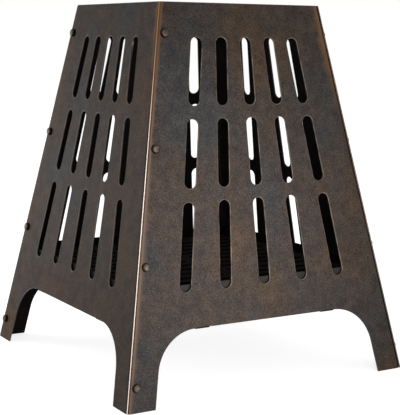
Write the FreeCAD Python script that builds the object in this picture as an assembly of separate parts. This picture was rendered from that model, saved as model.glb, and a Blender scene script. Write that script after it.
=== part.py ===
import FreeCAD, Part
import math
import os
from FreeCAD import Placement, Rotation, Vector

# Fire basket: four slotted sheet walls lean together, screwed at the corners, round an ash pan and its grate.
# Millimetres, +Z up. The origin is on the floor under the middle, and the front wall faces -Y.

# Overall form, over the outer faces of the walls
basket_height = 500.0
base_width = 430.0
top_width = 247.0
wall_sheet = 2.0
bend_inside_radius = 2.0

# Legs, and the arch between them
leg_width = 40.0
arch_height = 92.0
arch_corner_radius = 59.0

# Slots in rows that fan out from a point above the wall, with lengths along the slope
slot_rows = 3
slots_per_row = 5
slot_width = 16.5
slot_row_gap = 16.5
slot_top_margin = 44.5
slot_arch_margin = 46.0
low_row_extra_length = 24.5
slot_fan_step = 4.15
slot_fan_point = 965.0

# Corner flange on each wall's right-hand edge, which the next wall covers and is screwed to
corner_flange = 22.0
screws_per_corner = 4
screw_edge_distance = 10.0
lowest_screw_height = 30.0
screw_top_margin = 40.0

# Pan-head screws and hexagon nuts
screw_diameter = 6.0
screw_length = 12.0
screw_tip_chamfer = 0.8
screw_hole_diameter = 6.6
screw_head_diameter = 11.0
screw_head_height = 5.2
screw_crown_radius = 14.0
screw_edge_radius = 2.2
nut_across_flats = 10.0
nut_height = 5.0
nut_chamfer_angle = 30.0
nut_thread_clearance = 0.05

# Tabs folded in at the arch, which carry the ash pan
tab_width = 21.0
tab_reach = 30.0
tab_relief = 1.0

# Ash pan
pan_depth = 54.0
pan_sheet = 1.5
pan_bend_radius = 2.0
pan_clearance = 2.0
pan_flange_clearance = 4.0

# Grate, which stands in the pan on its folded sides
grate_sheet = 2.0
grate_bend_radius = 2.0
grate_drop = 11.0
grate_clearance = 3.0
grate_corner_notch = 24.0
grate_slot_width = 10.0
grate_slot_pitch = 26.0
grate_web = 20.0
grate_side_margin = 23.0
grate_end_margin = 43.0

# How far a cutting body runs past the sheet that it cuts
overcut = 2.0

SIDES = ["front", "right", "back", "left"]

# Lean of the walls, tilt of their edges within the sheet, and turn of the corner fold, in radians
taper = (base_width - top_width) / 2 / basket_height
lean = math.atan(taper)
edge_tilt = math.atan(math.sin(lean))
corner_turn = math.acos(math.sin(lean) ** 2)
tab_turn = math.pi / 2 + lean
slope_length = basket_height / math.cos(lean)
bend_outside_radius = bend_inside_radius + wall_sheet

# Heights of the pan and the grate
pan_floor = arch_height + pan_sheet
pan_rim = arch_height + pan_depth
grate_top = pan_rim - grate_drop


def half_width(height):
    """Half the width over the outer faces at a height above the floor."""
    return base_width / 2 - taper * height


pan_half = half_width(pan_rim) - wall_sheet / math.cos(lean) - pan_clearance
flange_end = half_width(pan_rim) - (wall_sheet + corner_flange) / math.cos(edge_tilt)
pan_corner_cut = pan_half - flange_end + pan_flange_clearance
grate_half = pan_half - pan_sheet - grate_clearance


def wall_place(index):
    """Frame of one wall: X to the right and Y up the slope on the outer face, Z outwards."""
    stood_up = Placement(Vector(0, -base_width / 2, 0), Rotation(Vector(1, 0, 0), 90 - math.degrees(lean)))
    turned = Placement(Vector(0, 0, 0), Rotation(Vector(0, 0, 1), 90 * index))
    return turned.multiply(stood_up)


def setback(turn):
    """Distance from the sharp outer corner of a fold to where its bend begins."""
    return bend_outside_radius * math.tan(turn / 2)


def face_of(edges):
    return Part.Face(Part.Wire([edge.toShape() for edge in edges]))


def polygon_face(points):
    return Part.Face(Part.makePolygon(points + points[:1]))


def obround(first, last, width):
    """Flat slot with round ends centred on two points."""
    along = (last - first).normalize() * (width / 2)
    aside = Vector(-along.y, along.x, 0)
    return face_of([
        Part.Arc(first + aside, first - along, first - aside),
        Part.LineSegment(first - aside, last - aside),
        Part.Arc(last - aside, last + along, last + aside),
        Part.LineSegment(last + aside, first + aside),
    ])


def through_sheet(face, sheet):
    """Cutting body for a face drawn on a sheet's upper side."""
    raised = face.translated(Vector(0, 0, overcut))
    return raised.extrude(Vector(0, 0, -sheet - 2 * overcut))


def folded_strip(corner, to_wall, to_end, reach):
    """Section of a fold, from where its bend begins on the wall, round the bend, to its free end."""
    half_turn = (math.pi - to_wall.getAngle(to_end)) / 2
    inward = (to_wall + to_end).normalize()
    centre = corner + inward * (bend_outside_radius / math.cos(half_turn))
    distance = setback(2 * half_turn)
    outside = [corner + to_wall * distance, centre - inward * bend_outside_radius, corner + to_end * distance]
    shrink = bend_inside_radius / bend_outside_radius
    inside = [centre + (point - centre) * shrink for point in outside]
    tip_outside = corner + to_end * reach
    tip_inside = tip_outside + inside[2] - outside[2]
    return face_of([
        Part.Arc(outside[0], outside[1], outside[2]),
        Part.LineSegment(outside[2], tip_outside),
        Part.LineSegment(tip_outside, tip_inside),
        Part.LineSegment(tip_inside, inside[2]),
        Part.Arc(inside[2], inside[1], inside[0]),
        Part.LineSegment(inside[0], outside[0]),
    ])


def panel_outline():
    """Flat part of a wall, from its left-hand cut edge to where the corner bend begins on its right."""
    bend_line = (wall_sheet / math.sin(corner_turn) + setback(corner_turn)) / math.cos(edge_tilt)
    low = -overcut
    high = slope_length + overcut

    def edge_at(slope):
        return base_width / 2 - slope * math.tan(edge_tilt)

    return polygon_face([
        Vector(-edge_at(low), low, 0),
        Vector(edge_at(low) - bend_line, low, 0),
        Vector(edge_at(high) - bend_line, high, 0),
        Vector(-edge_at(high), high, 0),
    ])


arch_slope = arch_height / math.cos(lean)
arch_corner = base_width / 2 - leg_width - arch_slope * math.tan(edge_tilt)
arch_tangent = arch_corner_radius * math.tan((math.pi / 2 - edge_tilt) / 2)
arch_flat_half = arch_corner - arch_tangent


def arch_face():
    """Opening between the legs, whose inner edges follow the outer ones up to large round corners."""
    low = -2 * overcut
    foot = base_width / 2 - leg_width - low * math.tan(edge_tilt)
    corner = Vector(arch_corner, arch_slope, 0)
    leg_end = corner + Vector(math.sin(edge_tilt), -math.cos(edge_tilt), 0) * arch_tangent
    flat_end = Vector(arch_flat_half, arch_slope, 0)
    centre = Vector(arch_flat_half, arch_slope - arch_corner_radius, 0)
    middle = centre + (corner - centre).normalize() * arch_corner_radius

    def mirrored(point):
        return Vector(-point.x, point.y, 0)

    return face_of([
        Part.LineSegment(Vector(-foot, low, 0), Vector(foot, low, 0)),
        Part.LineSegment(Vector(foot, low, 0), leg_end),
        Part.Arc(leg_end, middle, flat_end),
        Part.LineSegment(flat_end, mirrored(flat_end)),
        Part.Arc(mirrored(flat_end), mirrored(middle), mirrored(leg_end)),
        Part.LineSegment(mirrored(leg_end), Vector(-foot, low, 0)),
    ])


def slot_faces():
    """Rows of slots on lines that meet above the wall. The lowest row is the longest."""
    slotted_length = slope_length - slot_top_margin - arch_slope - slot_arch_margin
    length = (slotted_length - (slot_rows - 1) * slot_row_gap - low_row_extra_length) / slot_rows
    lengths = [length] * (slot_rows - 1) + [length + low_row_extra_length]
    middle_slot = (slots_per_row - 1) / 2
    faces = []
    row_top = slope_length - slot_top_margin
    for row_length in lengths:
        ends = [row_top - row_length + slot_width / 2, row_top - slot_width / 2]
        for column in range(slots_per_row):
            spread = math.tan(math.radians((column - middle_slot) * slot_fan_step))
            points = [Vector((slot_fan_point - end) * spread, end, 0) for end in ends]
            faces.append(obround(points[0], points[1], slot_width))
        row_top = row_top - row_length - slot_row_gap
    return faces


tab_slope = (arch_height - wall_sheet) / math.cos(lean) + setback(tab_turn)
tab_outer_end = arch_flat_half - tab_relief
tab_starts = [-tab_outer_end, tab_outer_end - tab_width]


def tab_notch(start):
    """Room for a tab's bend, with a relief cut on each side of it."""
    left = start - tab_relief
    right = start + tab_width + tab_relief
    low = arch_slope - overcut
    return polygon_face([
        Vector(left, low, 0),
        Vector(right, low, 0),
        Vector(right, tab_slope, 0),
        Vector(left, tab_slope, 0),
    ])


def pan_tab(start):
    """Level tab on the front wall, folded in from the arch's edge."""
    underside = arch_height - wall_sheet
    corner = Vector(start, -half_width(underside), underside)
    up_slope = Vector(0, math.sin(lean), math.cos(lean))
    section = folded_strip(corner, up_slope, Vector(0, 1, 0), tab_reach)
    return section.extrude(Vector(tab_width, 0, 0))


def corner_fold():
    """Bend and flange along the right-hand edge, parallel to the next wall and just behind it."""
    along = Vector(-math.sin(edge_tilt), math.cos(edge_tilt), 0)
    across = Vector(math.cos(edge_tilt), math.sin(edge_tilt), 0)
    inward = across * math.cos(corner_turn) - Vector(0, 0, math.sin(corner_turn))
    start = Vector(base_width / 2, 0, 0) - along * (2 * overcut)
    corner = start - across * (wall_sheet / math.sin(corner_turn))
    section = folded_strip(corner, across * -1, inward, corner_flange)
    return section.extrude(along * (slope_length / math.cos(edge_tilt) + 4 * overcut))


def screw_places(index):
    """Frames of the screws up one wall's left-hand edge, from the top down, on its outer face."""
    highest = basket_height - screw_top_margin
    spacing = (highest - lowest_screw_height) / (screws_per_corner - 1)
    places = []
    for number in range(screws_per_corner):
        height = highest - number * spacing
        spot = Vector(screw_edge_distance - half_width(height), height / math.cos(lean), 0)
        places.append(wall_place(index).multiply(Placement(spot, Rotation())))
    return places


def screw_hole(place):
    """Hole through a wall and the flange behind it."""
    depth = 2 * wall_sheet + 2 * overcut
    hole = Part.makeCylinder(screw_hole_diameter / 2, depth, Vector(0, 0, overcut - depth))
    hole.Placement = place
    return hole


def make_front_wall():
    """One folded sheet, flat on the floor and level at the rim."""
    cuts = [arch_face()] + slot_faces() + [tab_notch(start) for start in tab_starts]
    panel = panel_outline().extrude(Vector(0, 0, -wall_sheet))
    flat = panel.cut([through_sheet(face, wall_sheet) for face in cuts])
    folded = flat.fuse(corner_fold())
    folded.Placement = wall_place(0)
    wall = folded.fuse([pan_tab(start) for start in tab_starts])
    room = Part.makeBox(base_width, base_width, basket_height, Vector(-base_width / 2, -base_width / 2, 0))
    holes = [screw_hole(place) for place in screw_places(0) + screw_places(1)]
    return wall.common(room).cut(holes).removeSplitter()


def make_screw():
    """Pan-head screw along Z with its head's seat at the origin."""
    rim = screw_head_diameter / 2
    shank = screw_diameter / 2
    aside = rim - screw_edge_radius
    rise = math.sqrt((screw_crown_radius - screw_edge_radius) ** 2 - aside ** 2)
    crown_angle = math.atan2(aside, rise)
    crown_centre = Vector(0, 0, screw_head_height - screw_crown_radius)
    edge_centre = crown_centre + Vector(aside, 0, rise)

    def on_arc(centre, radius, angle):
        return centre + Vector(math.sin(angle), 0, math.cos(angle)) * radius

    crown_middle = on_arc(crown_centre, screw_crown_radius, crown_angle / 2)
    crown_end = on_arc(crown_centre, screw_crown_radius, crown_angle)
    edge_middle = on_arc(edge_centre, screw_edge_radius, (crown_angle + math.pi / 2) / 2)
    outline = [
        Vector(rim, 0, edge_centre.z),
        Vector(rim, 0, 0),
        Vector(shank, 0, 0),
        Vector(shank, 0, screw_tip_chamfer - screw_length),
        Vector(shank - screw_tip_chamfer, 0, -screw_length),
        Vector(0, 0, -screw_length),
        Vector(0, 0, screw_head_height),
    ]
    edges = [Part.LineSegment(a, b) for a, b in zip(outline, outline[1:])]
    edges.append(Part.Arc(outline[-1], crown_middle, crown_end))
    edges.append(Part.Arc(crown_end, edge_middle, outline[0]))
    return face_of(edges).revolve(Vector(0, 0, 0), Vector(0, 0, 1), 360)


def make_nut():
    """Hexagon nut with chamfered corners, against the inner side of the flange."""
    seat = -2 * wall_sheet
    corner = nut_across_flats / math.sqrt(3)
    angles = [math.radians(60 * step) for step in range(6)]
    hexagon = polygon_face([Vector(corner * math.cos(a), corner * math.sin(a), seat) for a in angles])
    prism = hexagon.extrude(Vector(0, 0, -nut_height))
    bevel = (corner - nut_across_flats / 2) * math.tan(math.radians(nut_chamfer_angle))
    turned = polygon_face([
        Vector(0, 0, seat),
        Vector(nut_across_flats / 2, 0, seat),
        Vector(corner, 0, seat - bevel),
        Vector(corner, 0, seat - nut_height + bevel),
        Vector(nut_across_flats / 2, 0, seat - nut_height),
        Vector(0, 0, seat - nut_height),
    ]).revolve(Vector(0, 0, 0), Vector(0, 0, 1), 360)
    bore_radius = screw_diameter / 2 + nut_thread_clearance
    bore = Part.makeCylinder(bore_radius, nut_height + 2 * overcut, Vector(0, 0, seat - nut_height - overcut))
    return prism.common(turned).cut(bore)


def round_block(half, corner_cut, closed, opened, radius):
    """Square block with cut corners, from its closed end to its open end, rounded at the closed end."""
    side_ends = [Vector(corner_cut - half, -half, closed), Vector(half - corner_cut, -half, closed)]
    quarter_turns = [Rotation(Vector(0, 0, 1), 90 * quarter) for quarter in range(4)]
    plan = polygon_face([turn.multVec(end) for turn in quarter_turns for end in side_ends])
    block = plan.extrude(Vector(0, 0, opened - closed))
    rim_edges = [edge for edge in block.Edges if abs(edge.CenterOfMass.z - closed) < 1e-6]
    return block.makeFillet(radius, rim_edges)


def folded_tray(half, corner_cut, closed, opened, sheet, bend_radius):
    """Sheet tray with eight sides, which opens upwards or downwards."""
    direction = math.copysign(1, opened - closed)
    outside = round_block(half, corner_cut, closed, opened, bend_radius + sheet)
    inner_cut = corner_cut - sheet * (2 - math.sqrt(2))
    floor = closed + direction * sheet
    mouth = opened + direction * overcut
    return outside.cut(round_block(half - sheet, inner_cut, floor, mouth, bend_radius))


def make_ash_pan():
    """Deep tray with its corners cut back past the wall flanges and the nuts."""
    return folded_tray(pan_half, pan_corner_cut, arch_height, pan_rim, pan_sheet, pan_bend_radius)


def grate_slots():
    """Two columns of slots on either side of a middle web."""
    rows = 1 + int((2 * grate_half - 2 * grate_end_margin) / grate_slot_pitch)
    near = (grate_web + grate_slot_width) / 2
    far = grate_half - grate_side_margin - grate_slot_width / 2
    faces = []
    for row in range(rows):
        y = (row - (rows - 1) / 2) * grate_slot_pitch
        for side in (-1, 1):
            faces.append(obround(Vector(side * near, y, 0), Vector(side * far, y, 0), grate_slot_width))
    return [face.translated(Vector(0, 0, grate_top)) for face in faces]


def corner_notches():
    """Square cuts that leave the four folded sides of the grate apart at its corners."""
    size = grate_corner_notch + overcut
    height = grate_top - pan_floor + 2 * overcut
    low = [-grate_half - overcut, grate_half - grate_corner_notch]
    return [Part.makeBox(size, size, height, Vector(x, y, pan_floor - overcut)) for x in low for y in low]


def make_grate():
    """Slotted plate on four folded sides that stand on the pan's floor."""
    inside_notch = grate_corner_notch / 2
    tray = folded_tray(grate_half, inside_notch, grate_top, pan_floor, grate_sheet, grate_bend_radius)
    slots = [through_sheet(face, grate_sheet) for face in grate_slots()]
    return tray.cut(corner_notches() + slots)


def make_parts():
    """Every piece in its place, by node name."""
    front_wall = make_front_wall()
    screw = make_screw()
    nut = make_nut()
    parts = {"ash_pan": make_ash_pan(), "grate": make_grate()}
    for index, side in enumerate(SIDES):
        wall = front_wall.copy()
        wall.rotate(Vector(0, 0, 0), Vector(0, 0, 1), 90 * index)
        parts[f"{side}_wall"] = wall
        for number, place in enumerate(screw_places(index), start=1):
            parts[f"{side}_screw_{number}"] = screw.transformed(place.toMatrix())
            parts[f"{side}_nut_{number}"] = nut.transformed(place.toMatrix())
    return parts


os.makedirs("parts", exist_ok=True)
for node, shape in make_parts().items():
    shape.exportStep(f"parts/{node}.step")
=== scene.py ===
import math
import bpy
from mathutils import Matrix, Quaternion, Vector


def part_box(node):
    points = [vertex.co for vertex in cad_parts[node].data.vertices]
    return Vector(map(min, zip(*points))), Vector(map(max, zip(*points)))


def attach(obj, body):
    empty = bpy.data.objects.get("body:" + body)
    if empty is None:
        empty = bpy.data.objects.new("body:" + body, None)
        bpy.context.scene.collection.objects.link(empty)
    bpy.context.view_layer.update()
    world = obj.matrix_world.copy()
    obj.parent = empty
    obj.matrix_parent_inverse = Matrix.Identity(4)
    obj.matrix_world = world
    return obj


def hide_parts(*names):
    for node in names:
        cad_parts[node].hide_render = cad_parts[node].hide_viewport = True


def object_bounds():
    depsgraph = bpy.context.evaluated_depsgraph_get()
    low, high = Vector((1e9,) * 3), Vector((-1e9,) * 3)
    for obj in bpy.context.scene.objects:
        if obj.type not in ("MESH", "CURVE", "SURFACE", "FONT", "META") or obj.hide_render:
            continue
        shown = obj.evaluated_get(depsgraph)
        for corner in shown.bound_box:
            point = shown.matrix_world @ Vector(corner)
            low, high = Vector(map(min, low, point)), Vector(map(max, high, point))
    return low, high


# Fire basket: four slotted sheet walls in a hand-rubbed bronze finish, screwed at the corners round an ash
# pan and its grate. Metres, +Z up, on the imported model's frame. The front wall faces -Y.

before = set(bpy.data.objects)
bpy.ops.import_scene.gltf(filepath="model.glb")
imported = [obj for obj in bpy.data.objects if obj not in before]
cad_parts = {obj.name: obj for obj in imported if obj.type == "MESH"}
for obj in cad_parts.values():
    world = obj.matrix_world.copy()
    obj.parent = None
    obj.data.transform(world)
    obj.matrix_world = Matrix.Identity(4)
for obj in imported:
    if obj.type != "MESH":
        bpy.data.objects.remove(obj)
cad_low, cad_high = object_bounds()

mm = 0.001

# Overall form, over the outer faces of the walls
basket_height = cad_high.z - cad_low.z
base_width = cad_high.x - cad_low.x
top_width = 247 * mm
wall_sheet = 2 * mm
bend_outside_radius = 4 * mm

# Rounding of the cut edges, on every edge that turns by more than the least turn
rim_rounding = 0.8 * mm
rim_steps = 2
rim_least_turn = math.radians(35)

# Legs, and the arch between them. The pan stands at the arch's height.
leg_width = 40 * mm
arch_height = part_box("ash_pan")[0].z - cad_low.z
arch_corner_radius = 59 * mm

# Slots in rows that fan out from a point above the wall, with lengths along the slope
slots_per_row = 5
slot_width = 16.5 * mm
slot_row_gap = 16.5 * mm
slot_top_margin = 44.5 * mm
slot_arch_margin = 46 * mm
low_row_extra_length = 24.5 * mm
slot_fan_step = math.radians(4.15)
slot_fan_point = 965 * mm

# Corner flange on each wall's right-hand edge, and the tabs that carry the pan. The relief beside a tab is
# drawn narrower than the cut of 1 mm, because the rounding of its edges widens it.
corner_flange = 22 * mm
tab_width = 21 * mm
tab_reach = 30 * mm
tab_relief = 0.2 * mm

# Pan-head screws up each wall's left-hand edge
screws_per_corner = 4
screw_edge_distance = 10 * mm
lowest_screw_height = 30 * mm
screw_top_margin = 40 * mm
screw_diameter = 6 * mm
screw_length = 12 * mm
screw_tip_chamfer = 0.8 * mm
screw_head_diameter = 11 * mm
screw_head_height = 5.2 * mm
screw_crown_radius = 14 * mm
screw_edge_radius = 2.2 * mm

# Lean of the walls, tilt of their edges within the sheet, and turns of the folds, in radians
taper = (base_width - top_width) / 2 / basket_height
lean = math.atan(taper)
edge_tilt = math.atan(math.sin(lean))
corner_turn = math.acos(math.sin(lean) ** 2)
tab_turn = math.pi / 2 + lean
corner_setback = bend_outside_radius * math.tan(corner_turn / 2)
tab_setback = bend_outside_radius * math.tan(tab_turn / 2)
slope_length = basket_height / math.cos(lean)
arch_slope = arch_height / math.cos(lean)
tab_slope = (arch_height - wall_sheet) / math.cos(lean) + tab_setback
arch_corner = base_width / 2 - leg_width - arch_slope * math.tan(edge_tilt)
arch_flat_half = arch_corner - arch_corner_radius * math.tan((math.pi / 2 - edge_tilt) / 2)

# Flat faces that stand for a curve
bend_steps = 8
slot_end_steps = 12
arch_corner_steps = 24
screw_segments = 36
screw_arc_steps = 6

# A slot's ends, as a share of its width, and the arch's corners, as a share of their radius, are drawn a
# little small, because the full size would leave edges of no length beside them
slot_end_share = 0.4999
arch_corner_share = 0.999

# How far the flat pattern runs past the floor and the rim before it is cut level, and how near to these
# levels a point is moved there, which takes in the ends of the folded flange
level_cut = 1 * mm
level_reach = 12 * mm

# Points nearer than this become one
sheet_weld = 0.01 * mm
screw_weld = 0.001 * mm

# Part of a noise's range in which a tone changes, for soft clouds and for crisper patches
soft_low = 0.3
soft_high = 0.7
crisp_low = 0.35
crisp_high = 0.65

# Walls, with where the coating's clouds lie on each sheet
CLOUD_PLACES = {"front": (2.06, -0.6, 2.1), "right": (4.5, 1.3, -2.7), "back": (-3.2, 2.4, 0.9),
                "left": (4.74, 3.3, -3.07)}
SIDES = list(CLOUD_PLACES)


def colour(code):
    """Linear colour of an sRGB hex code."""
    shades = [int(code[place:place + 2], 16) / 255 for place in (1, 3, 5)]
    linear = [shade / 12.92 if shade <= 0.04045 else ((shade + 0.055) / 1.055) ** 2.4 for shade in shades]
    return (*linear, 1.0)


def add(tree, kind, inputs=None, stops=None, **settings):
    """Add a node with its settings and a ramp's stops, and link or set its inputs by name or number."""
    node = tree.nodes.new(kind)
    for name, value in settings.items():
        setattr(node, name, value)
    for key, value in (inputs or {}).items():
        for source in value if isinstance(value, list) else [value]:
            if isinstance(source, bpy.types.NodeSocket):
                tree.links.new(source, node.inputs[key])
            else:
                node.inputs[key].default_value = source
    if stops:
        first, *between, last = stops.items()
        for element, (place, tone) in zip(node.color_ramp.elements, (first, last)):
            element.position = place
            element.color = tone
        for place, tone in between:
            node.color_ramp.elements.new(place).color = tone
    return node


# Materials

def new_material(name):
    """Start a material and give its tree, its shader and its object coordinates."""
    material = bpy.data.materials.new(name)
    material.use_nodes = True
    tree = material.node_tree
    shader = tree.nodes["Principled BSDF"]
    position = add(tree, "ShaderNodeTexCoord").outputs["Object"]
    return material, tree, shader, position


def from_middle(tree, position):
    """Sockets of a place's X, Y and Z, its distances from the middle along X and Y, and the larger one."""
    place = add(tree, "ShaderNodeSeparateXYZ", {0: position}).outputs
    along_x = add(tree, "ShaderNodeMath", {0: place["X"]}, operation="ABSOLUTE").outputs[0]
    along_y = add(tree, "ShaderNodeMath", {0: place["Y"]}, operation="ABSOLUTE").outputs[0]
    outward = add(tree, "ShaderNodeMath", {0: along_x, 1: along_y}, operation="MAXIMUM").outputs[0]
    return place, along_x, along_y, outward


def corner_sockets(tree, position):
    """Sockets that place the corners' wear and painted shade, by name.

    "distance" is from the nearest upright corner, "folded" is 1 on the folded side of that corner, "height"
    is above the floor, "depth" is under the walls' outer faces, "facing" is 1 on the front and the back, and
    "bare" tells how bare the hand wore the corners, which was most at the front left.
    """
    least_bare = 0.1
    place, along_x, along_y, outward = from_middle(tree, position)
    half = add(tree, "ShaderNodeMath", {0: place["Z"], 1: -taper, 2: base_width / 2},
               operation="MULTIPLY_ADD").outputs[0]
    along = add(tree, "ShaderNodeMath", {0: along_x, 1: along_y}, operation="MINIMUM")
    distance = add(tree, "ShaderNodeMath", {0: half, 1: along.outputs[0]}, operation="SUBTRACT")
    depth = add(tree, "ShaderNodeMath", {0: half, 1: outward}, operation="SUBTRACT")
    quarter = add(tree, "ShaderNodeMath", {0: place["X"], 1: place["Y"]}, operation="MULTIPLY")
    lead = add(tree, "ShaderNodeMath", {0: along_y, 1: along_x}, operation="SUBTRACT").outputs[0]
    hand = add(tree, "ShaderNodeMath", {0: quarter.outputs[0], 1: lead}, operation="MULTIPLY")
    folded = add(tree, "ShaderNodeMath", {0: hand.outputs[0], 1: 0.0}, operation="LESS_THAN")
    from_front_left = add(tree, "ShaderNodeMath", {0: place["X"], 1: place["Y"]})
    bare = add(tree, "ShaderNodeMapRange", {
        "Value": from_front_left.outputs[0], "From Min": -top_width, "From Max": 0.0, "To Min": 1.0,
        "To Max": least_bare})
    facing = add(tree, "ShaderNodeMath", {0: lead, 1: 0.0}, operation="GREATER_THAN")
    return {"distance": distance.outputs[0], "folded": folded.outputs[0], "height": place["Z"],
            "depth": depth.outputs[0], "facing": facing.outputs[0], "bare": bare.outputs[0]}


def grained_surface(tree, shader, grain, smoothest, roughest, relief, depth):
    """Let a grain set a surface's roughness, and its relief as a share of a depth."""
    roughness = add(tree, "ShaderNodeMapRange", {
        "Value": grain.outputs["Fac"], "To Min": smoothest, "To Max": roughest})
    tree.links.new(roughness.outputs[0], shader.inputs["Roughness"])
    bump = add(tree, "ShaderNodeBump", {
        "Height": grain.outputs["Fac"], "Strength": relief, "Distance": depth})
    tree.links.new(bump.outputs[0], shader.inputs["Normal"])


def patchy_tone(tree, shader, position, patch_size, dark, pale):
    """Patches of two tones, rougher where they are pale. Gives the patches and their tone."""
    smoothest = 0.4
    roughest = 0.6
    patches = add(tree, "ShaderNodeTexNoise", {
        "Vector": position, "Scale": 1 / patch_size, "Detail": 3.0}).outputs["Fac"]
    tone = add(tree, "ShaderNodeValToRGB", {"Fac": patches}, {
        crisp_low: colour(dark), crisp_high: colour(pale)})
    roughness = add(tree, "ShaderNodeMapRange", {"Value": patches, "To Min": smoothest, "To Max": roughest})
    tree.links.new(roughness.outputs[0], shader.inputs["Roughness"])
    return patches, tone.outputs[0]


def rubbed_bronze_coating():
    """Dark bronze powder coating, rubbed by hand.

    It gives the eye soft brown and slate clouds, a fine grain, brown and golden bands along the corners, and
    painted shade low along the folds and on the tabs' bends.
    """
    material, tree, shader, position = new_material("rubbed_bronze_powder_coating")

    # Each sheet has its own clouds. The hand went up and down, so they are taller than they are wide.
    cloud_size = 100 * mm
    cloud_squeeze = (1.0, 1.0, 0.8)
    sheet_clouds = add(tree, "ShaderNodeAttribute", attribute_name="cloud_place")
    rubbed_way = add(tree, "ShaderNodeMapping", {
        "Vector": position, "Location": sheet_clouds.outputs["Vector"], "Scale": cloud_squeeze})
    clouds = add(tree, "ShaderNodeTexNoise", {
        "Vector": rubbed_way.outputs[0], "Scale": 1 / cloud_size, "Detail": 3.0, "Roughness": 0.5})
    bronze = add(tree, "ShaderNodeValToRGB", {"Fac": clouds.outputs["Fac"]}, {
        0.36: colour("#464545"), 0.46: colour("#4a4340"), 0.56: colour("#4d443e"), 0.7: colour("#56473b")})

    # Blotches of a thicker and a thinner film, which turn the tone to a bluish or a warm brown
    blotch_size = 16 * mm
    thick_film = (0.75, 0.78, 0.8, 1.0)
    thin_film = (1.29, 1.21, 1.15, 1.0)
    blotches = add(tree, "ShaderNodeTexNoise", {
        "Vector": position, "Scale": 1 / blotch_size, "Detail": 4.0, "Roughness": 0.65})
    film = add(tree, "ShaderNodeValToRGB", {"Fac": blotches.outputs["Fac"]}, {
        0.32: thick_film, 0.68: thin_film})
    clouded = add(tree, "ShaderNodeMix", {"Factor": 1.0, 6: bronze.outputs[0], 7: film.outputs[0]},
                  data_type="RGBA", blend_type="MULTIPLY")

    # The real grain is about half a millimetre. It is drawn coarser, so that it shows at the photo's size.
    grain_size = 1.3 * mm
    grain_contrast = 0.67
    grain = add(tree, "ShaderNodeTexNoise", {
        "Vector": position, "Scale": 1 / grain_size, "Detail": 2.0, "Roughness": 0.7})
    grain_tone = add(tree, "ShaderNodeMapRange", {
        "Value": grain.outputs["Fac"], "From Min": soft_low, "From Max": soft_high,
        "To Min": 1 - grain_contrast, "To Max": 1 + grain_contrast})
    grained = add(tree, "ShaderNodeMix", {"Factor": 1.0, 6: clouded.outputs[2], 7: grain_tone.outputs[0]},
                  data_type="RGBA", blend_type="MULTIPLY")

    # The hand wore a brown band into the screwed sheet of a corner, most at the front left. Along the fold
    # lies a dark line of painted shade for the bend. Towards the rim that line becomes a golden band, which
    # is wider on the front and back.
    corner_places = corner_sockets(tree, position)
    change_start = basket_height * 0.45
    fold_change_end = basket_height * 0.9
    screwed_change_end = basket_height * 0.8
    fold_shade_width = 5 * mm
    side_fold_band = 12 * mm
    front_fold_band = 20 * mm
    low_screwed_band = 12 * mm
    high_screwed_band = 8 * mm
    widest = add(tree, "ShaderNodeMapRange", {
        "Value": corner_places["facing"], "To Min": side_fold_band, "To Max": front_fold_band})
    fold_reach = add(tree, "ShaderNodeMapRange", {
        "Value": corner_places["height"], "From Min": change_start, "From Max": fold_change_end, "To Min": fold_shade_width,
        "To Max": widest.outputs[0]})
    screwed_reach = add(tree, "ShaderNodeMapRange", {
        "Value": corner_places["height"], "From Min": change_start, "From Max": screwed_change_end,
        "To Min": low_screwed_band, "To Max": high_screwed_band})
    side_reach = add(tree, "ShaderNodeMix", {
        "Factor": corner_places["folded"], 2: screwed_reach.outputs[0], 3: fold_reach.outputs[0]})

    # The blotches make the bands' borders uneven
    shortest_reach = 0.6
    longest_reach = 1.3
    strongest_band = 0.9
    fully_rubbed = 3 * mm
    uneven = add(tree, "ShaderNodeMapRange", {
        "Value": blotches.outputs["Fac"], "From Min": soft_low, "From Max": soft_high,
        "To Min": shortest_reach, "To Max": longest_reach})
    reach = add(tree, "ShaderNodeMath", {0: side_reach.outputs[0], 1: uneven.outputs[0]},
                operation="MULTIPLY")
    screwed_rub = add(tree, "ShaderNodeMath", {0: corner_places["bare"], 1: strongest_band}, operation="MULTIPLY")
    band_strength = add(tree, "ShaderNodeMix", {
        "Factor": corner_places["folded"], 2: screwed_rub.outputs[0], 3: strongest_band})
    rub_and_fold_shade = add(tree, "ShaderNodeMapRange", {
        "Value": corner_places["distance"], "From Min": fully_rubbed, "From Max": reach.outputs[0],
        "To Min": band_strength.outputs[0], "To Max": 0.0}, interpolation_type="SMOOTHSTEP")

    # Both bands grow warmer towards the rim. The screwed sheet's is palest a little way in from its edge.
    warm_start = basket_height * 0.6
    warm_end = basket_height * 0.95
    warmest = 0.7
    band_width = 12 * mm
    dark_to = 1.3 * mm
    palest_at = 3.2 * mm
    brown_from = 7 * mm
    across = add(tree, "ShaderNodeMath", {0: corner_places["distance"], 1: 1 / band_width}, operation="MULTIPLY")
    band = add(tree, "ShaderNodeValToRGB", {"Fac": across.outputs[0]}, {
        dark_to / band_width: colour("#3b2d26"), palest_at / band_width: colour("#826d5d"),
        brown_from / band_width: colour("#67564a")})
    near_rim = add(tree, "ShaderNodeMapRange", {
        "Value": corner_places["height"], "From Min": warm_start, "From Max": warm_end})
    warm_share = add(tree, "ShaderNodeMath", {0: near_rim.outputs[0], 1: warmest}, operation="MULTIPLY")
    warm_band = add(tree, "ShaderNodeMix", {
        "Factor": warm_share.outputs[0], 6: band.outputs[0], 7: colour("#7a573e")}, data_type="RGBA")
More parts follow.
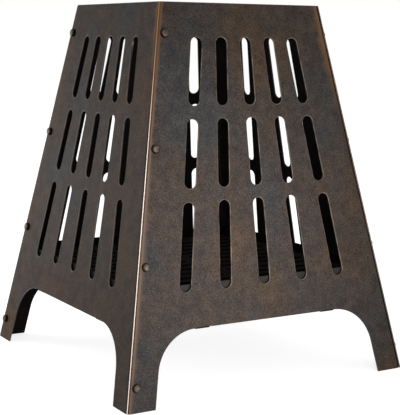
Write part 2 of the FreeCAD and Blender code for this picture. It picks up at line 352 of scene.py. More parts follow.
    # On the folded side the dark tone low down is painted shade, and near the rim it turns to golden wear
    fold_shade_and_wear = add(tree, "ShaderNodeMix", {
        "Factor": near_rim.outputs[0], 6: colour("#34261f"), 7: colour("#8c6c4d")}, data_type="RGBA")
    bands_wear_and_shade = add(tree, "ShaderNodeMix", {
        "Factor": corner_places["folded"], 6: warm_band.outputs[2], 7: fold_shade_and_wear.outputs[2]}, data_type="RGBA")
    wear_and_painted_light = add(tree, "ShaderNodeMix", {
        "Factor": rub_and_fold_shade.outputs[0], 6: grained.outputs[2], 7: bands_wear_and_shade.outputs[2]}, data_type="RGBA")

    # Painted shade: the tabs' bends face down under the arch and are coloured near-black there
    shade_starts = 0.3 * mm
    shade_full = 1.0 * mm
    bend_top = arch_height + bend_outside_radius
    bent_away = add(tree, "ShaderNodeMapRange", {
        "Value": corner_places["depth"], "From Min": shade_starts, "From Max": shade_full})
    by_arch = add(tree, "ShaderNodeMath", {0: corner_places["height"], 1: bend_top}, operation="LESS_THAN")
    tab_bend_shade = add(tree, "ShaderNodeMath", {0: bent_away.outputs[0], 1: by_arch.outputs[0]},
                    operation="MULTIPLY")
    finished = add(tree, "ShaderNodeMix", {
        "Factor": tab_bend_shade.outputs[0], 6: wear_and_painted_light.outputs[2], 7: colour("#0f0c0b")}, data_type="RGBA")
    tree.links.new(finished.outputs[2], shader.inputs["Base Color"])

    # The rubbed film is dull, so it has far less sheen than a new powder coating
    shader.inputs["Specular IOR Level"].default_value = 0.05
    grained_surface(tree, shader, grain, smoothest=0.5, roughest=0.7, relief=0.15, depth=0.2 * mm)
    return material


def worn_edge(name, dark, pale, wear_and_painted_light=None):
    """Edges of the sheet in patchy dark bronze, worn to bare metal along the corners.

    The worn metal is copper at the rim and bright from the middle down, and most of it is at the front left
    corner. Given a pale tone, the outer edges round the slots have it in patches, fainter on the sides: part
    rubbed metal, part painted highlight where those rims catch the light.
    """
    material, tree, shader, position = new_material(name)
    corner_places = corner_sockets(tree, position)
    patch_size = 14 * mm
    patches, edge_tone = patchy_tone(tree, shader, position, patch_size, dark, pale)
    # Pale patches round the slots are partly rubbed metal and partly a painted highlight where the rims catch
    # the light
    if wear_and_painted_light:
        side_rim_share = 0.35
        lowest = arch_height + slot_arch_margin / 2
        highest = basket_height - slot_top_margin / 2
        by_slots = add(tree, "ShaderNodeMath", {
            0: corner_places["height"], 1: (lowest + highest) / 2, 2: (highest - lowest) / 2}, operation="COMPARE")
        outer = add(tree, "ShaderNodeMath", {0: corner_places["depth"], 1: wall_sheet / 2}, operation="LESS_THAN")
        outside = add(tree, "ShaderNodeMath", {0: by_slots.outputs[0], 1: outer.outputs[0]},
                      operation="MULTIPLY")
        rim_side_share = add(tree, "ShaderNodeMapRange", {
            "Value": corner_places["facing"], "To Min": side_rim_share, "To Max": 1.0})
        pale_rim_mask = add(tree, "ShaderNodeMath", {0: outside.outputs[0], 1: rim_side_share.outputs[0]},
                      operation="MULTIPLY")
        pale_rim = add(tree, "ShaderNodeMapRange", {
            "Value": patches, "From Min": crisp_low, "From Max": crisp_high, "To Max": pale_rim_mask.outputs[0]})
        edge_tone = add(tree, "ShaderNodeMix", {
            "Factor": pale_rim.outputs[0], 6: edge_tone, 7: colour(wear_and_painted_light)}, data_type="RGBA").outputs[2]

    copper_above = basket_height * 0.95
    bright_below = basket_height * 0.5
    bare_to = 2.5 * mm
    coated_from = 4 * mm
    polished = add(tree, "ShaderNodeMapRange", {
        "Value": corner_places["height"], "From Min": copper_above, "From Max": bright_below},
        interpolation_type="SMOOTHSTEP")
    metal = add(tree, "ShaderNodeMix", {
        "Factor": polished.outputs[0], 6: colour("#906a46"), 7: colour("#e4d3c8")}, data_type="RGBA")
    corner = add(tree, "ShaderNodeMapRange", {
        "Value": corner_places["distance"], "From Min": bare_to, "From Max": coated_from, "To Min": corner_places["bare"],
        "To Max": 0.0})
    worn = add(tree, "ShaderNodeMix", {"Factor": corner.outputs[0], 6: edge_tone, 7: metal.outputs[2]},
               data_type="RGBA")
    tree.links.new(worn.outputs[2], shader.inputs["Base Color"])
    tree.links.new(corner.outputs[0], shader.inputs["Metallic"])
    return material


def stove_paint(name, dark, pale, outer_face=None):
    """Matt stove paint, sprayed: a dry, slightly cloudy tone with a fine grain.

    Given how far its outer faces lie from the middle, a piece shows the paint there and soot elsewhere.
    """
    material, tree, shader, position = new_material(name)
    cloud_size = 20 * mm
    clouds = add(tree, "ShaderNodeTexNoise", {
        "Vector": position, "Scale": 1 / cloud_size, "Detail": 6.0, "Roughness": 0.6})
    tone = add(tree, "ShaderNodeValToRGB", {"Fac": clouds.outputs["Fac"]}, {
        soft_low: colour(dark), soft_high: colour(pale)})
    paint = tone.outputs[0]
    if outer_face:
        sooty_to = outer_face - 1.2 * mm
        clean_from = outer_face - 0.6 * mm
        outward = from_middle(tree, position)[-1]
        clean = add(tree, "ShaderNodeMapRange", {
            "Value": outward, "From Min": sooty_to, "From Max": clean_from})
        paint = add(tree, "ShaderNodeMix", {"Factor": clean.outputs[0], 6: colour("#141110"), 7: paint},
                    data_type="RGBA").outputs[2]
    tree.links.new(paint, shader.inputs["Base Color"])

    # The real grain is well under a millimetre. It is drawn coarser, so that it shows in a near view.
    grain_size = 1.2 * mm
    grain = add(tree, "ShaderNodeTexNoise", {"Vector": position, "Scale": 1 / grain_size, "Detail": 2.0})
    shader.inputs["Specular IOR Level"].default_value = 0.03
    grained_surface(tree, shader, grain, smoothest=0.7, roughest=0.95, relief=0.2, depth=0.15 * mm)
    return material


def plated_steel(name, dark, pale, shaded=None):
    """Plated steel: a metal sheen in faint blotches, and if asked a dark tone of painted shade where the
    piece marks it.
    """
    material, tree, shader, position = new_material(name)
    blotch_size = 2.5 * mm
    plating = patchy_tone(tree, shader, position, blotch_size, dark, pale)[1]
    if shaded:
        patina = add(tree, "ShaderNodeAttribute", attribute_name="patina")
        plating = add(tree, "ShaderNodeMix", {"Factor": patina.outputs["Fac"], 6: plating, 7: colour(shaded)},
                      data_type="RGBA").outputs[2]
    tree.links.new(plating, shader.inputs["Base Color"])
    shader.inputs["Metallic"].default_value = 1.0
    return material


coating = rubbed_bronze_coating()
# The cut faces are darker than the coating: painted shade for the shade that lies on them
shaded_cut_edge = worn_edge("cut_edge_in_painted_shade", "#1d1917", "#2e2722")
# Its pale patches round the slots are partly painted highlight
rim = worn_edge("rubbed_and_lit_bronze_rim", "#2e2723", "#463b34", "#8c7866")
inside_black = stove_paint("black_stove_paint", "#191615", "#24201f")
grate_black = stove_paint("burnt_stove_paint", "#161312", "#211e1c")
pan_grey = stove_paint("grey_stove_paint", "#322e2c", "#45413f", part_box("ash_pan")[1].x)
# The third tone is painted shade: the dark ring of contact shadow round the screw heads
screw_bronze = plated_steel("burnished_bronze_plating", "#413a32", "#6c6256", "#1c1612")
nut_black = plated_steel("black_oxide_steel", "#1b1a19", "#2c2a28")


# Node trees for the pieces that follow a rule

def new_tree(name, sizes):
    """Start a geometry tree with named inputs, and give its input and output sockets."""
    tree = bpy.data.node_groups.new(name, "GeometryNodeTree")
    tree.interface.new_socket("Geometry", in_out="INPUT", socket_type="NodeSocketGeometry")
    tree.interface.new_socket("Geometry", in_out="OUTPUT", socket_type="NodeSocketGeometry")
    for size, kind in sizes.items():
        tree.interface.new_socket(size, in_out="INPUT", socket_type=f"NodeSocket{kind}")
    return tree, add(tree, "NodeGroupInput").outputs, add(tree, "NodeGroupOutput").inputs


def stood_up(tree, flat, sizes):
    """Stand what lies on the flat pattern against the front, leaning in."""
    upright = add(tree, "ShaderNodeMath", {0: math.pi / 2, 1: sizes["Lean"]}, operation="SUBTRACT")
    stand = add(tree, "ShaderNodeCombineXYZ", {"X": upright.outputs[0]})
    front = add(tree, "ShaderNodeMath", {0: sizes["Base Half"], 1: -1}, operation="MULTIPLY")
    shift = add(tree, "ShaderNodeCombineXYZ", {"Y": front.outputs[0]})
    return add(tree, "GeometryNodeTransform", {
        "Geometry": flat, "Translation": shift.outputs[0], "Rotation": stand.outputs[0]})


def folded_strip_tree():
    """Strip of sheet that leaves a fold line, turns round the bend and ends flat.

    It is a grid, one unit wide and centred, with a step along X for each face of the bend and one for the
    flat.
    """
    tree, sizes, result = new_tree("folded_strip", {
        "Start": "Vector", "End": "Vector", "Away": "Vector", "Turn": "Float", "Bend Radius": "Float",
        "Flat Length": "Float"})
    grid = add(tree, "GeometryNodeMeshGrid", {
        "Size X": bend_steps + 1, "Size Y": 1, "Vertices X": bend_steps + 2, "Vertices Y": 2})
    place = add(tree, "ShaderNodeSeparateXYZ", {0: add(tree, "GeometryNodeInputPosition").outputs[0]})
    step = add(tree, "ShaderNodeMath", {0: place.outputs["X"], 1: (bend_steps + 1) / 2})
    bent = add(tree, "ShaderNodeMath", {0: step.outputs[0], 1: bend_steps}, operation="MINIMUM")
    share = add(tree, "ShaderNodeMath", {0: bent.outputs[0], 1: 1 / bend_steps}, operation="MULTIPLY")
    angle = add(tree, "ShaderNodeMath", {0: share.outputs[0], 1: sizes["Turn"]}, operation="MULTIPLY")
    past = add(tree, "ShaderNodeMath", {0: step.outputs[0], 1: bent.outputs[0]}, operation="SUBTRACT")
    flat = add(tree, "ShaderNodeMath", {0: past.outputs[0], 1: sizes["Flat Length"]}, operation="MULTIPLY")
    along = add(tree, "ShaderNodeMath", {0: place.outputs["Y"], 1: 0.5})
    foot = add(tree, "ShaderNodeMix", {"Factor": along.outputs[0], 4: sizes["Start"], 5: sizes["End"]},
               data_type="VECTOR")
    out = add(tree, "ShaderNodeVectorMath", {0: sizes["Away"], "Scale": flat.outputs[0]}, operation="SCALE")
    unbent = add(tree, "ShaderNodeVectorMath", {0: foot.outputs[1], 1: out.outputs[0]})
    radius = add(tree, "ShaderNodeCombineXYZ", {"Z": sizes["Bend Radius"]})
    centre = add(tree, "ShaderNodeVectorMath", {0: foot.outputs[1], 1: radius.outputs[0]},
                 operation="SUBTRACT")
    axis = add(tree, "ShaderNodeVectorMath", {0: sizes["Away"], 1: (0, 0, -1)}, operation="CROSS_PRODUCT")
    turned = add(tree, "ShaderNodeVectorRotate", {
        "Vector": unbent.outputs[0], "Center": centre.outputs[0], "Axis": axis.outputs[0],
        "Angle": angle.outputs[0]})
    folded = add(tree, "GeometryNodeSetPosition", {
        "Geometry": grid.outputs[0], "Position": turned.outputs[0]})
    tree.links.new(folded.outputs[0], result["Geometry"])
    return tree


def slot_row_tree():
    """Row of slots with round ends, as curves on lines that meet at the fan's point."""
    tree, sizes, result = new_tree("slot_row", {
        "Slots": "Int", "Slot Width": "Float", "Slot Length": "Float", "Row Middle": "Float",
        "Fan Point": "Float", "Fan Step": "Float", "First Angle": "Float"})
    sheet_cut = add(tree, "GeometryNodeCurvePrimitiveQuadrilateral", {
        "Width": sizes["Slot Width"], "Height": sizes["Slot Length"]})
    end_radius = add(tree, "ShaderNodeMath", {0: sizes["Slot Width"], 1: slot_end_share},
                     operation="MULTIPLY")
    slot = add(tree, "GeometryNodeFilletCurve", {
        "Curve": sheet_cut.outputs[0], "Radius": end_radius.outputs[0], "Count": slot_end_steps}, mode="POLY")
    points = add(tree, "GeometryNodePoints", {"Count": sizes["Slots"]})
    number = add(tree, "GeometryNodeInputIndex")
    angle = add(tree, "ShaderNodeMath", {0: number.outputs[0], 1: sizes["Fan Step"], 2: sizes["First Angle"]},
                operation="MULTIPLY_ADD")
    drop = add(tree, "ShaderNodeMath", {0: sizes["Fan Point"], 1: sizes["Row Middle"]}, operation="SUBTRACT")
    spread = add(tree, "ShaderNodeMath", {0: angle.outputs[0]}, operation="TANGENT")
    aside = add(tree, "ShaderNodeMath", {0: drop.outputs[0], 1: spread.outputs[0]}, operation="MULTIPLY")
    spot = add(tree, "ShaderNodeCombineXYZ", {"X": aside.outputs[0], "Y": sizes["Row Middle"]})
    placed = add(tree, "GeometryNodeSetPosition", {
        "Geometry": points.outputs[0], "Position": spot.outputs[0]})
    tilt = add(tree, "ShaderNodeCombineXYZ", {"Z": angle.outputs[0]})
    row = add(tree, "GeometryNodeInstanceOnPoints", {
        "Points": placed.outputs[0], "Instance": slot.outputs[0], "Rotation": tilt.outputs[0]})
    curves = add(tree, "GeometryNodeRealizeInstances", {0: row.outputs[0]})
    tree.links.new(curves.outputs[0], result["Geometry"])
    return tree


def wall_tree(rows):
    """Wall cut from a flat pattern, folded, given its thickness, cut level and stood in its place.

    The rim's finish is set first and covered by the others, so that its slot is there for the rounding of
    the edges.
    """
    names = {
        "Sheet": "Float", "Slots": "Int", "Slot Width": "Float", "Fan Point": "Float", "Fan Step": "Float",
        "First Angle": "Float", "Bend Radius": "Float", "Edge Start": "Vector", "Edge End": "Vector",
        "Edge Away": "Vector", "Edge Turn": "Float", "Edge Flat": "Float", "Tab Turn": "Float",
        "Tab Flat": "Float", "Left Tab Start": "Vector", "Left Tab End": "Vector",
        "Right Tab Start": "Vector", "Right Tab End": "Vector", "Lean": "Float", "Edge Slope": "Float",
        "Height": "Float", "Base Half": "Float", "Turn": "Float", "Coating": "Material",
        "Inside": "Material", "Shaded Cut Edge": "Material", "Rim": "Material", "Cloud Place": "Vector"}
    for row in range(rows):
        names[f"Row {row + 1} Middle"] = "Float"
        names[f"Row {row + 1} Length"] = "Float"
    tree, sizes, result = new_tree("cut_and_folded_wall", names)

    # Flat panel inside its outline, with the slots cut out
    radius = add(tree, "GeometryNodeInputNamedAttribute", {"Name": "corner_radius"})
    pattern = add(tree, "GeometryNodeMeshToCurve", {"Mesh": sizes["Geometry"]})
    outline = add(tree, "GeometryNodeFilletCurve", {
        "Curve": pattern.outputs[0], "Radius": radius.outputs[0], "Count": arch_corner_steps,
        "Limit Radius": True}, mode="POLY")
    slot_row = slot_row_tree()
    shared = ["Slots", "Slot Width", "Fan Point", "Fan Step", "First Angle"]
    cuts = [outline.outputs[0]]
    for row in range(rows):
        inputs = {name: sizes[name] for name in shared}
        inputs["Row Middle"] = sizes[f"Row {row + 1} Middle"]
        inputs["Slot Length"] = sizes[f"Row {row + 1} Length"]
        cuts.append(add(tree, "GeometryNodeGroup", inputs, node_tree=slot_row).outputs[0])
    drawn = add(tree, "GeometryNodeJoinGeometry", {0: cuts})
    panel = add(tree, "GeometryNodeFillCurve", {"Curve": drawn.outputs[0]}, mode="NGONS")

    # Corner flange and tabs, folded from the panel's edges
    strip = folded_strip_tree()
    folds = [add(tree, "GeometryNodeGroup", {
        "Start": sizes["Edge Start"], "End": sizes["Edge End"], "Away": sizes["Edge Away"],
        "Turn": sizes["Edge Turn"], "Bend Radius": sizes["Bend Radius"], "Flat Length": sizes["Edge Flat"],
    }, node_tree=strip).outputs[0]]
    for side in ("Left", "Right"):
        folds.append(add(tree, "GeometryNodeGroup", {
            "Start": sizes[f"{side} Tab Start"], "End": sizes[f"{side} Tab End"], "Away": (0, -1, 0),
            "Turn": sizes["Tab Turn"], "Bend Radius": sizes["Bend Radius"], "Flat Length": sizes["Tab Flat"],
        }, node_tree=strip).outputs[0])
    loose = add(tree, "GeometryNodeJoinGeometry", {0: [panel.outputs[0]] + folds})
    outside = add(tree, "GeometryNodeMergeByDistance", {"Geometry": loose.outputs[0], "Distance": sheet_weld})

    # Thickness, inwards from the outer face
    inside = add(tree, "GeometryNodeFlipFaces", {"Mesh": outside.outputs[0]})
    thick = add(tree, "GeometryNodeExtrudeMesh", {
        "Mesh": inside.outputs[0], "Offset Scale": sizes["Sheet"], "Individual": False})
    shell = add(tree, "GeometryNodeJoinGeometry", {0: [outside.outputs[0], thick.outputs["Mesh"]]})
    closed = add(tree, "GeometryNodeMergeByDistance", {"Geometry": shell.outputs[0], "Distance": sheet_weld})

    # Vertices at the feet and the rim move along the sheet's edges to the floor and to the rim's level
    place = add(tree, "ShaderNodeSeparateXYZ", {0: add(tree, "GeometryNodeInputPosition").outputs[0]})
    rise = add(tree, "ShaderNodeMath", {0: sizes["Lean"]}, operation="COSINE")
    tip = add(tree, "ShaderNodeMath", {0: sizes["Lean"]}, operation="SINE")
    up_slope = add(tree, "ShaderNodeMath", {0: place.outputs["Y"], 1: rise.outputs[0]}, operation="MULTIPLY")
    height = add(tree, "ShaderNodeMath", {0: place.outputs["Z"], 1: tip.outputs[0], 2: up_slope.outputs[0]},
                 operation="MULTIPLY_ADD")
    share = add(tree, "ShaderNodeMath", {0: height.outputs[0], 1: sizes["Height"]}, operation="DIVIDE")
    nearest = add(tree, "ShaderNodeMath", {0: share.outputs[0]}, operation="ROUND")
    level = add(tree, "ShaderNodeMath", {0: nearest.outputs[0], 1: sizes["Height"]}, operation="MULTIPLY")
    short = add(tree, "ShaderNodeMath", {0: level.outputs[0], 1: height.outputs[0]}, operation="SUBTRACT")
    climb = add(tree, "ShaderNodeMath", {0: short.outputs[0], 1: rise.outputs[0]}, operation="DIVIDE")
    hand = add(tree, "ShaderNodeMath", {0: place.outputs["X"]}, operation="SIGN")
    slant = add(tree, "ShaderNodeMath", {0: hand.outputs[0], 1: sizes["Edge Slope"]}, operation="MULTIPLY")
    aside = add(tree, "ShaderNodeMath", {0: slant.outputs[0], 1: climb.outputs[0]}, operation="MULTIPLY")
    inward = add(tree, "ShaderNodeMath", {0: aside.outputs[0], 1: -1}, operation="MULTIPLY")
    move = add(tree, "ShaderNodeCombineXYZ", {"X": inward.outputs[0], "Y": climb.outputs[0]})
    miss = add(tree, "ShaderNodeMath", {0: short.outputs[0]}, operation="ABSOLUTE")
    at_end = add(tree, "FunctionNodeCompare", {0: miss.outputs[0], 1: level_reach}, operation="LESS_THAN")
    cut_level = add(tree, "GeometryNodeSetPosition", {
        "Geometry": closed.outputs[0], "Selection": at_end.outputs[0], "Offset": move.outputs[0]})

    stood = stood_up(tree, cut_level.outputs[0], sizes)
    quarter = add(tree, "ShaderNodeCombineXYZ", {"Z": sizes["Turn"]})
    turned = add(tree, "GeometryNodeTransform", {
        "Geometry": stood.outputs[0], "Rotation": quarter.outputs[0]})

    # Finishes
    marked = add(tree, "GeometryNodeStoreNamedAttribute", {
        "Geometry": turned.outputs[0], "Name": "cloud_place", "Value": sizes["Cloud Place"]},
        data_type="FLOAT_VECTOR")
    smooth = add(tree, "GeometryNodeSetShadeSmooth", {"Geometry": marked.outputs[0]})
    whole = add(tree, "GeometryNodeRealizeInstances", {0: smooth.outputs[0]})
    rimmed = add(tree, "GeometryNodeSetMaterial", {"Geometry": whole.outputs[0], "Material": sizes["Rim"]})
    coated = add(tree, "GeometryNodeSetMaterial", {
        "Geometry": rimmed.outputs[0], "Material": sizes["Coating"]})
    lined = add(tree, "GeometryNodeSetMaterial", {
        "Geometry": coated.outputs[0], "Selection": thick.outputs["Top"], "Material": sizes["Inside"]})
    # The cut faces take the darker finish, which is painted shade
    edged = add(tree, "GeometryNodeSetMaterial", {
        "Geometry": lined.outputs[0], "Selection": thick.outputs["Side"], "Material": sizes["Shaded Cut Edge"]})
    tree.links.new(edged.outputs[0], result["Geometry"])
    return tree


def turned_profile_tree():
    """Line of points turned about the upright axis, with the mark of where painted shade darkens it.

    It is a grid, one unit wide and long and centred, that is wrapped round the axis.
    """
    tree, sizes, result = new_tree("turned_profile", {"Segments": "Int"})
    count = add(tree, "GeometryNodeAttributeDomainSize", {"Geometry": sizes["Geometry"]})
    across = add(tree, "ShaderNodeMath", {0: sizes["Segments"], 1: 1})
    grid = add(tree, "GeometryNodeMeshGrid", {
        "Size X": 1, "Size Y": 1, "Vertices X": across.outputs[0],
        "Vertices Y": count.outputs["Point Count"]})
    spot = add(tree, "GeometryNodeInputPosition")
    place = add(tree, "ShaderNodeSeparateXYZ", {0: spot.outputs[0]})
    round_share = add(tree, "ShaderNodeMath", {0: place.outputs["X"], 1: 0.5})
    angle = add(tree, "ShaderNodeMath", {0: round_share.outputs[0], 1: 2 * math.pi}, operation="MULTIPLY")
    up_share = add(tree, "ShaderNodeMath", {0: place.outputs["Y"], 1: 0.5})
    last = add(tree, "ShaderNodeMath", {0: count.outputs["Point Count"], 1: 1}, operation="SUBTRACT")
    step = add(tree, "ShaderNodeMath", {0: up_share.outputs[0], 1: last.outputs[0]}, operation="MULTIPLY")
    number = add(tree, "ShaderNodeMath", {0: step.outputs[0]}, operation="ROUND")
    point = add(tree, "GeometryNodeSampleIndex", {
        "Geometry": sizes["Geometry"], "Value": spot.outputs[0], "Index": number.outputs[0]},
        data_type="FLOAT_VECTOR")
    mark = add(tree, "GeometryNodeInputNamedAttribute", {"Name": "patina"})
    patina = add(tree, "GeometryNodeSampleIndex", {
        "Geometry": sizes["Geometry"], "Value": mark.outputs[0], "Index": number.outputs[0]})
    turned = add(tree, "ShaderNodeVectorRotate", {"Vector": point.outputs[0], "Angle": angle.outputs[0]},
                 rotation_type="Z_AXIS")
    shaded = add(tree, "GeometryNodeStoreNamedAttribute", {
        "Geometry": grid.outputs[0], "Name": "patina", "Value": patina.outputs[0]})
    formed = add(tree, "GeometryNodeSetPosition", {
        "Geometry": shaded.outputs[0], "Position": turned.outputs[0]})
    closed = add(tree, "GeometryNodeMergeByDistance", {"Geometry": formed.outputs[0], "Distance": screw_weld})
    smooth = add(tree, "GeometryNodeSetShadeSmooth", {"Geometry": closed.outputs[0]})
    tree.links.new(smooth.outputs[0], result["Geometry"])
    return tree


def screw_rows_tree():
    """Turned screw set out in a row up a wall's edge, with a row on each of the corners."""
    tree, sizes, result = new_tree("screw_rows", {
        "Segments": "Int", "Screws": "Int", "First Spot": "Vector", "Step": "Vector", "Lean": "Float",
        "Base Half": "Float", "Corners": "Int", "Material": "Material"})
    screw = add(tree, "GeometryNodeGroup", {"Geometry": sizes["Geometry"], "Segments": sizes["Segments"]},
                node_tree=turned_profile_tree())
    number = add(tree, "GeometryNodeInputIndex")
    spots = add(tree, "GeometryNodePoints", {"Count": sizes["Screws"]})
    spot = add(tree, "ShaderNodeVectorMath", {0: number.outputs[0], 1: sizes["Step"], 2: sizes["First Spot"]},
               operation="MULTIPLY_ADD")
    placed = add(tree, "GeometryNodeSetPosition", {"Geometry": spots.outputs[0], "Position": spot.outputs[0]})
    row = add(tree, "GeometryNodeInstanceOnPoints", {
        "Points": placed.outputs[0], "Instance": screw.outputs[0]})
    stood = stood_up(tree, row.outputs[0], sizes)
    corners = add(tree, "GeometryNodePoints", {"Count": sizes["Corners"]})
    part_turn = add(tree, "ShaderNodeMath", {0: 2 * math.pi, 1: sizes["Corners"]}, operation="DIVIDE")
    way = add(tree, "ShaderNodeMath", {0: number.outputs[0], 1: part_turn.outputs[0]}, operation="MULTIPLY")
    facing = add(tree, "ShaderNodeCombineXYZ", {"Z": way.outputs[0]})
    rows = add(tree, "GeometryNodeInstanceOnPoints", {
        "Points": corners.outputs[0], "Instance": stood.outputs[0], "Rotation": facing.outputs[0]})
    whole = add(tree, "GeometryNodeRealizeInstances", {0: rows.outputs[0]})
    plated = add(tree, "GeometryNodeSetMaterial", {
        "Geometry": whole.outputs[0], "Material": sizes["Material"]})
    tree.links.new(plated.outputs[0], result["Geometry"])
    return tree


def made_piece(name, base, tree, sizes, rounding=None):
    """Run a tree on a mesh, round its edges if asked, and keep the result as a plain mesh.

    What a tree draws has an empty finish in slot 0. The finish that it sets first, which the rounded edges
    get, is in slot 1.
    """
    empty_slot = 0
    first_finish = 1
    source = bpy.data.objects.new(f"{name}_source", base)
    bpy.context.collection.objects.link(source)
    rule = source.modifiers.new("rule", "NODES")
    rule.node_group = tree
    for item in tree.interface.items_tree:
        if item.in_out == "INPUT" and item.name in sizes:
            rule[item.identifier] = sizes[item.name]
    if rounding:
        bevel = source.modifiers.new("rims", "BEVEL")
        bevel.width = rounding
        bevel.segments = rim_steps
        bevel.limit_method = "ANGLE"
        bevel.angle_limit = rim_least_turn
        bevel.use_clamp_overlap = False
        bevel.material = first_finish
    source.modifiers.new("flat_faces", "WEIGHTED_NORMAL")
    depsgraph = bpy.context.evaluated_depsgraph_get()
    mesh = bpy.data.meshes.new_from_object(source.evaluated_get(depsgraph), depsgraph=depsgraph)
    bpy.data.objects.remove(source)
    mesh.name = name
    mesh.materials.pop(index=empty_slot)
    piece = bpy.data.objects.new(name, mesh)
    bpy.context.collection.objects.link(piece)
    return piece


# Walls

def wall_pattern():
    """Outline of a wall's flat panel on its outer face, as a loop of edges, and the ends of its fold lines.

    Each point of the outline has the radius of its corner.
    """
    bend_line = (wall_sheet / math.sin(corner_turn) + corner_setback) / math.cos(edge_tilt)
    arch_radius = arch_corner_radius * arch_corner_share
    low = -level_cut
    high = slope_length + level_cut

    def edge_at(slope):
        return base_width / 2 - slope * math.tan(edge_tilt)

    foot = edge_at(low) - leg_width
    tab_outer_end = arch_flat_half - tab_relief
    bend_start = edge_at(low) - bend_line
    bend_end = edge_at(high) - bend_line
    fold = {"Edge Start": (bend_start, low, 0), "Edge End": (bend_end, high, 0)}
    points = [(-edge_at(low), low, 0), (-foot, low, 0), (-arch_corner, arch_slope, arch_radius)]
    for side, start in (("Left", -tab_outer_end), ("Right", tab_outer_end - tab_width)):
        end = start + tab_width
        fold[f"{side} Tab Start"] = (start, tab_slope, 0)
        fold[f"{side} Tab End"] = (end, tab_slope, 0)
        points += [(start - tab_relief, arch_slope, 0), (start - tab_relief, tab_slope, 0),
                   (start, tab_slope, 0), (end, tab_slope, 0), (end + tab_relief, tab_slope, 0),
                   (end + tab_relief, arch_slope, 0)]
    points += [(arch_corner, arch_slope, arch_radius), (foot, low, 0), (bend_start, low, 0),
               (bend_end, high, 0), (-edge_at(high), high, 0)]
    mesh = bpy.data.meshes.new("wall_pattern")
    edges = [(index, (index + 1) % len(points)) for index in range(len(points))]
    mesh.from_pydata([(x, y, 0) for x, y, radius in points], edges, [])
    radii = mesh.attributes.new("corner_radius", "FLOAT", "POINT")
    radii.data.foreach_set("value", [radius for x, y, radius in points])

    # The rounding of the edges picks its finish by number, so the pattern has as many finishes as the wall
    for finish in (coating, inside_black, shaded_cut_edge, rim):
        mesh.materials.append(finish)
    return mesh, fold


def slot_rows():
    """Middle and length of each row of slots, along the slope. The lowest row is the longest."""
    slotted_length = slope_length - slot_top_margin - arch_slope - slot_arch_margin
    length = (slotted_length - 2 * slot_row_gap - low_row_extra_length) / 3
    row_top = slope_length - slot_top_margin
    rows = []
    for row_length in (length, length, length + low_row_extra_length):
        rows.append((row_top - row_length / 2, row_length))
        row_top -= row_length + slot_row_gap
    return rows


def make_walls():
    """Four walls alike, a quarter turn apart."""
    pattern, fold = wall_pattern()
    rows = slot_rows()
    tree = wall_tree(len(rows))
    sizes = {
        "Sheet": wall_sheet, "Slots": slots_per_row, "Slot Width": slot_width, "Fan Point": slot_fan_point,
        "Fan Step": slot_fan_step, "First Angle": -slot_fan_step * (slots_per_row - 1) / 2,
        "Bend Radius": bend_outside_radius, "Edge Away": (math.cos(edge_tilt), math.sin(edge_tilt), 0),
        "Edge Turn": corner_turn, "Edge Flat": corner_flange - corner_setback, "Tab Turn": tab_turn,
        "Tab Flat": tab_reach - tab_setback, "Lean": lean, "Edge Slope": math.tan(edge_tilt),
        "Height": basket_height, "Base Half": base_width / 2, "Coating": coating, "Inside": inside_black,
        "Shaded Cut Edge": shaded_cut_edge, "Rim": rim, **fold}
    for number, (middle, length) in enumerate(rows, start=1):
        sizes[f"Row {number} Middle"] = middle
        sizes[f"Row {number} Length"] = length
    for index, side in enumerate(SIDES):
        sizes["Turn"] = index * math.pi / 2
        sizes["Cloud Place"] = CLOUD_PLACES[side]
        wall = made_piece(f"{side}_wall_sheet", pattern, tree, sizes, rim_rounding)
        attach(wall, "basket")
        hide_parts(f"{side}_wall")


# Screws

def screw_profile():
    """Half outline of a pan-head screw, from its tip round the head's edge to the middle of its crown.

    Each point has its share of painted shade: dark at the tip, shank, seat and the head's edge, for contact
    shadow, fading over the crown to none at its middle.
    """
    crown_shade = 0.3
    shank = screw_diameter / 2
    head = screw_head_diameter / 2
    aside = head - screw_edge_radius
    rise = math.sqrt((screw_crown_radius - screw_edge_radius) ** 2 - aside ** 2)
    crown_angle = math.atan2(aside, rise)
    crown_centre = screw_head_height - screw_crown_radius
    edge_centre = crown_centre + rise
    points = [(0, -screw_length, 1), (shank - screw_tip_chamfer, -screw_length, 1),
              (shank, screw_tip_chamfer - screw_length, 1), (shank, 0, 1), (head, 0, 1)]
    for step in range(screw_arc_steps + 1):
        angle = math.pi / 2 + (crown_angle - math.pi / 2) * step / screw_arc_steps
        points.append((aside + screw_edge_radius * math.sin(angle),
                       edge_centre + screw_edge_radius * math.cos(angle),
                       1 - (1 - crown_shade) * step / screw_arc_steps))
    for step in range(1, screw_arc_steps + 1):
        angle = crown_angle * (1 - step / screw_arc_steps)
        points.append((screw_crown_radius * math.sin(angle),
                       crown_centre + screw_crown_radius * math.cos(angle),
                       crown_shade * (1 - step / screw_arc_steps)))
    mesh = bpy.data.meshes.new("screw_profile")
    edges = [(index, index + 1) for index in range(len(points) - 1)]
    mesh.from_pydata([(radius, 0, height) for radius, height, patina in points], edges, [])
    marks = mesh.attributes.new("patina", "FLOAT", "POINT")
    marks.data.foreach_set("value", [patina for radius, height, patina in points])
    return mesh


def make_screws():
    """Four screws up the left-hand edge of each wall, the first at the top."""
    top = basket_height - screw_top_margin
    drop = (top - lowest_screw_height) / (screws_per_corner - 1)

    def spot(height):
        aside = screw_edge_distance - (base_width / 2 - taper * height)
        return Vector((aside, height / math.cos(lean), 0))

    sizes = {
        "Segments": screw_segments, "Screws": screws_per_corner, "First Spot": spot(top),
        "Step": spot(top - drop) - spot(top), "Lean": lean, "Base Half": base_width / 2,
        "Corners": len(SIDES), "Material": screw_bronze}
    screws = made_piece("pan_head_screws", screw_profile(), screw_rows_tree(), sizes)
    nodes = [f"{side}_screw_{number + 1}" for side in SIDES for number in range(screws_per_corner)]
    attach(screws, "basket")
    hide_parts(*nodes)


make_walls()
make_screws()


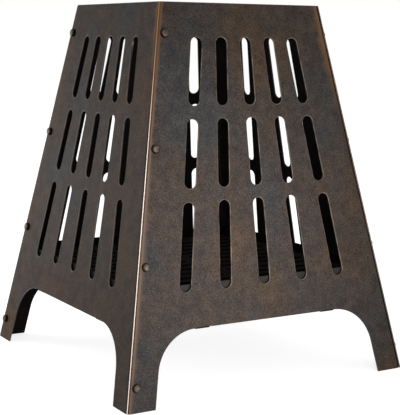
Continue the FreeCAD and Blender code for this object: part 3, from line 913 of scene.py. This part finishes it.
# Carried-over solids, which keep their shape and take a finish

FINISHES = {"ash_pan": pan_grey, "grate": grate_black}
for name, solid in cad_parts.items():
    solid.data.materials.clear()
    solid.data.materials.append(FINISHES.get(name, nut_black))


# Floor, light and camera

def seen_by_eye(tree):
    """Socket that is 1 for what the camera sees, straight, in a reflection or through glass."""
    rays = add(tree, "ShaderNodeLightPath").outputs
    seen = add(tree, "ShaderNodeMath", {0: rays["Is Camera Ray"], 1: rays["Is Glossy Ray"]},
               operation="MAXIMUM")
    return add(tree, "ShaderNodeMath", {0: seen.outputs[0], 1: rays["Is Transmission Ray"]},
               operation="MAXIMUM").outputs[0]


def make_floor():
    """Pale floor that looks white to the eye and keeps the object's shadow. It lies just under the feet."""
    half = 6.0
    level = -0.2 * mm
    own_glow = 0.8
    mesh = bpy.data.meshes.new("floor")
    mesh.from_pydata([(-half, -half, level), (half, -half, level), (half, half, level), (-half, half, level)],
                     [], [(0, 1, 2, 3)])
    floor = bpy.data.objects.new("floor", mesh)
    bpy.context.collection.objects.link(floor)
    material = bpy.data.materials.new("pale_studio_floor")
    material.use_nodes = True
    tree = material.node_tree
    shader = tree.nodes["Principled BSDF"]
    shader.inputs["Base Color"].default_value = colour("#e6e6e6")
    shader.inputs["Roughness"].default_value = 0.9
    shader.inputs["Emission Color"].default_value = (1, 1, 1, 1)
    glow = add(tree, "ShaderNodeMath", {0: seen_by_eye(tree), 1: own_glow}, operation="MULTIPLY")
    tree.links.new(glow.outputs[0], shader.inputs["Emission Strength"])
    mesh.materials.append(material)


def make_world():
    """White to the eye, and a plain soft light otherwise."""
    soft_light = 0.39
    white = 1.0
    world = bpy.data.worlds.new("studio")
    bpy.context.scene.world = world
    world.use_nodes = True
    tree = world.node_tree
    strength = add(tree, "ShaderNodeMapRange", {
        "Value": seen_by_eye(tree), "To Min": soft_light, "To Max": white})
    background = tree.nodes["Background"]
    background.inputs["Color"].default_value = (1, 1, 1, 1)
    tree.links.new(strength.outputs["Result"], background.inputs["Strength"])


def make_lamp(name, place, aim, size, power, spread=180):
    """Square soft light at a place, turned to its aim, with its power in watts and its spread in degrees."""
    light = bpy.data.lights.new(name, "AREA")
    light.size = size
    light.energy = power
    light.spread = math.radians(spread)
    lamp = bpy.data.objects.new(name, light)
    bpy.context.collection.objects.link(lamp)
    lamp.location = place
    lamp.rotation_mode = "QUATERNION"
    lamp.rotation_quaternion = (Vector(aim) - Vector(place)).to_track_quat("-Z", "Y")


def make_camera():
    """Camera fitted to the photograph's corners, slots and screws. Its lens spans the image's height."""
    azimuth = math.radians(-30.658)
    elevation = math.radians(8.365)
    roll = math.radians(0.627)
    distance = 1.6622
    aim = Vector((0.0122, 0, 0.2121))
    image_height = 415
    focal_pixels = 1148.8
    back = Vector((math.sin(azimuth) * math.cos(elevation), -math.cos(azimuth) * math.cos(elevation),
                   math.sin(elevation)))
    data = bpy.data.cameras.new("camera")
    data.sensor_width = 36
    data.lens = focal_pixels * data.sensor_width / image_height
    camera = bpy.data.objects.new("camera", data)
    bpy.context.collection.objects.link(camera)
    camera.location = aim + back * distance
    camera.rotation_mode = "QUATERNION"
    camera.rotation_quaternion = (-back).to_track_quat("-Z", "Y") @ Quaternion((0, 0, 1), roll)
    bpy.context.scene.camera = camera


make_floor()
make_world()
make_lamp("low_front_softbox", place=(-0.1, -0.75, 0.2), aim=(-0.06, -0.2, 0.2), size=0.35, power=0.62,
          spread=70)
make_lamp("left_softbox", place=(-0.52, 0.55, 0.3), aim=(-0.17, 0.22, 0.25), size=0.3, power=0.38, spread=100)
make_lamp("far_left_softbox", place=(-1.0, 0.7, 0.45), aim=(-0.17, 0.05, 0.25), size=0.5, power=1.5)
make_camera()
bpy.context.scene.view_settings.view_transform = "Standard"
